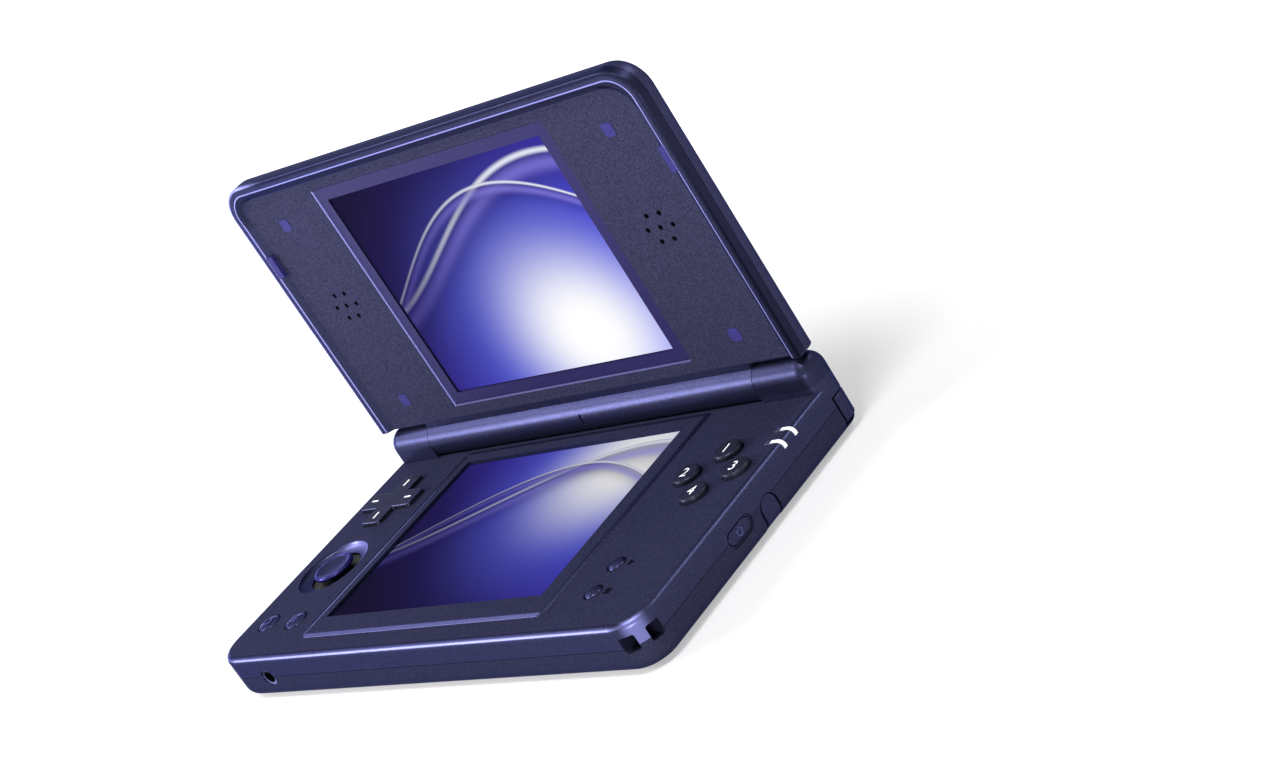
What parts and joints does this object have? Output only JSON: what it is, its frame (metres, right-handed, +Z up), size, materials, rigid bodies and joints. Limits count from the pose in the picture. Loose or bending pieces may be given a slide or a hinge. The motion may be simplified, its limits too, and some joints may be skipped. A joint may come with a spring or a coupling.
{
  "type": "clamshell handheld game console",
  "caption": "Handheld game console with a hinged lid: screen in the lid, touch screen and pressable controls in the base, stylus in a silo.",
  "frame": {"origin": "centre of the base's flat underside", "axes": "+X to the player's right, along both screens; +Y from the player towards the hinge; +Z up; the lid stands open at a right angle at rest"},
  "size_m": [0.1613, 0.0934, 0.1056],
  "materials": {
    "case_paint": "satin indigo paint with fine metallic grain",
    "case_lower": "satin indigo paint, darker",
    "lid_panel": "fine textured indigo plastic",
    "lid_cover": "smooth satin indigo paint",
    "screen_glass": "clear polished glass",
    "display": "lit display behind glass",
    "board": "green solder mask",
    "battery_foil": "foil pouch",
    "mat_rubber": "matt rubber",
    "black_plastic": "matt black plastic",
    "port_steel": "stamped steel",
    "light_pipe": "milky white, glossy",
    "dark_steel": "blackened steel",
    "flex": "amber film",
    "pad_rubber": "violet rubber",
    "key_dark": "fine matt charcoal plastic",
    "key_indigo": "satin indigo plastic",
    "slide_cap": "satin violet cap",
    "stylus_metal": "polished, slightly brushed tube",
    "stylus_nib": "black nylon"
  },
  "bodies": {
    "base": {"base_top_shell": "case_paint", "base_bottom_shell": "case_lower", "touch_panel": "screen_glass", "lower_display_panel": "display", "main_board": "board", "battery": "battery_foil", "face_button_mat": "mat_rubber", "direction_pad_mat": "mat_rubber", "start_select_mat": "mat_rubber", "menu_button_mat": "mat_rubber", "slide_pad_housing": "black_plastic", "headphone_jack": "black_plastic", "charge_port": "port_steel", "stylus_silo": "black_plastic", "light_pipes": "light_pipe", "status_leds": "light_pipe", "case_screws": "dark_steel", "shoulder_switches": "black_plastic", "power_switch": "black_plastic", "volume_switches": "black_plastic"},
    "lid": {"lid_front_frame": "lid_panel", "lid_rear_cover": "lid_cover", "upper_screen_lens": "screen_glass", "upper_display_panel": "display", "speaker_left": "black_plastic", "speaker_right": "black_plastic", "lid_screw_pads": "pad_rubber", "latch_pads": "pad_rubber", "lid_screws": "dark_steel", "microphone": "port_steel", "lid_flex_cable": "flex", "hinge_pin_left": "port_steel", "hinge_pin_right": "port_steel"},
    "direction_pad_pivot": {"direction_pad_pivot": "black_plastic"},
    "direction_pad": {"direction_pad": "key_dark"},
    "slide_pad_carriage": {"slide_pad_carriage": "black_plastic"},
    "slide_pad": {"slide_pad": "slide_cap"},
    "button_north": {"button_north": "key_dark"},
    "button_east": {"button_east": "key_dark"},
    "button_south": {"button_south": "key_dark"},
    "button_west": {"button_west": "key_dark"},
    "start_button": {"start_button": "key_indigo"},
    "select_button": {"select_button": "key_indigo"},
    "menu_button_left": {"menu_button_left": "key_indigo"},
    "menu_button_right": {"menu_button_right": "key_indigo"},
    "power_button": {"power_button": "key_indigo"},
    "volume_rocker": {"volume_rocker": "key_indigo"},
    "shoulder_button_left": {"shoulder_button_left": "key_indigo"},
    "shoulder_button_right": {"shoulder_button_right": "key_indigo"},
    "stylus": {"stylus_tube": "stylus_metal", "stylus_head": "key_indigo", "stylus_tip": "stylus_nib"}
  },
  "joints": [
    {"name": "lid_hinge", "type": "hinge", "parent": "base", "child": "lid", "pos_m": [0, 0.0417, 0.0173], "axis": [-1, 0, 0], "range_deg": [-90, 65]},
    {"name": "button_north_press", "type": "slide", "parent": "base", "child": "button_north", "axis": [0, 0, -1], "range_m": [0, 0.0007], "stiffness_N_per_m": 200},
    {"name": "button_east_press", "type": "slide", "parent": "base", "child": "button_east", "axis": [0, 0, -1], "range_m": [0, 0.0007], "stiffness_N_per_m": 200},
    {"name": "button_south_press", "type": "slide", "parent": "base", "child": "button_south", "axis": [0, 0, -1], "range_m": [0, 0.0007], "stiffness_N_per_m": 200},
    {"name": "button_west_press", "type": "slide", "parent": "base", "child": "button_west", "axis": [0, 0, -1], "range_m": [0, 0.0007], "stiffness_N_per_m": 200},
    {"name": "start_press", "type": "slide", "parent": "base", "child": "start_button", "axis": [0, 0, -1], "range_m": [0, 0.0005], "stiffness_N_per_m": 200},
    {"name": "select_press", "type": "slide", "parent": "base", "child": "select_button", "axis": [0, 0, -1], "range_m": [0, 0.0005], "stiffness_N_per_m": 200},
    {"name": "menu_left_press", "type": "slide", "parent": "base", "child": "menu_button_left", "axis": [0, 0, -1], "range_m": [0, 0.0005], "stiffness_N_per_m": 200},
    {"name": "menu_right_press", "type": "slide", "parent": "base", "child": "menu_button_right", "axis": [0, 0, -1], "range_m": [0, 0.0005], "stiffness_N_per_m": 200},
    {"name": "power_press", "type": "slide", "parent": "base", "child": "power_button", "axis": [-1, 0, 0], "range_m": [0, 0.0005], "stiffness_N_per_m": 200},
    {"name": "direction_pad_pitch", "type": "hinge", "parent": "base", "child": "direction_pad_pivot", "pos_m": [-0.065, 0.0179, 0.01105], "axis": [1, 0, 0], "range_deg": [-2, 2], "stiffness_Nm_per_rad": 0.02},
    {"name": "direction_pad_roll", "type": "hinge", "parent": "direction_pad_pivot", "child": "direction_pad", "pos_m": [-0.065, 0.0179, 0.01105], "axis": [0, 1, 0], "range_deg": [-2, 2], "stiffness_Nm_per_rad": 0.02},
    {"name": "slide_pad_x", "type": "slide", "parent": "base", "child": "slide_pad_carriage", "axis": [1, 0, 0], "range_m": [-0.002, 0.002], "stiffness_N_per_m": 100},
    {"name": "slide_pad_y", "type": "slide", "parent": "slide_pad_carriage", "child": "slide_pad", "axis": [0, 1, 0], "range_m": [-0.002, 0.002], "stiffness_N_per_m": 100},
    {"name": "volume_rock", "type": "hinge", "parent": "base", "child": "volume_rocker", "pos_m": [-0.0769, -0.00525, 0.0072], "axis": [0, 0, 1], "range_deg": [-2, 2], "stiffness_Nm_per_rad": 0.02},
    {"name": "shoulder_right_press", "type": "hinge", "parent": "base", "child": "shoulder_button_right", "pos_m": [0.0596, 0.0434, 0.0058], "axis": [0, 0, -1], "range_deg": [0, 1.9], "stiffness_Nm_per_rad": 0.05},
    {"name": "shoulder_left_press", "type": "hinge", "parent": "base", "child": "shoulder_button_left", "pos_m": [-0.0596, 0.0434, 0.0058], "axis": [0, 0, 1], "range_deg": [0, 1.9], "stiffness_Nm_per_rad": 0.05},
    {"name": "stylus_slide", "type": "slide", "parent": "base", "child": "stylus", "axis": [1, 0, 0], "range_m": [0, 0.1]}
  ]
}
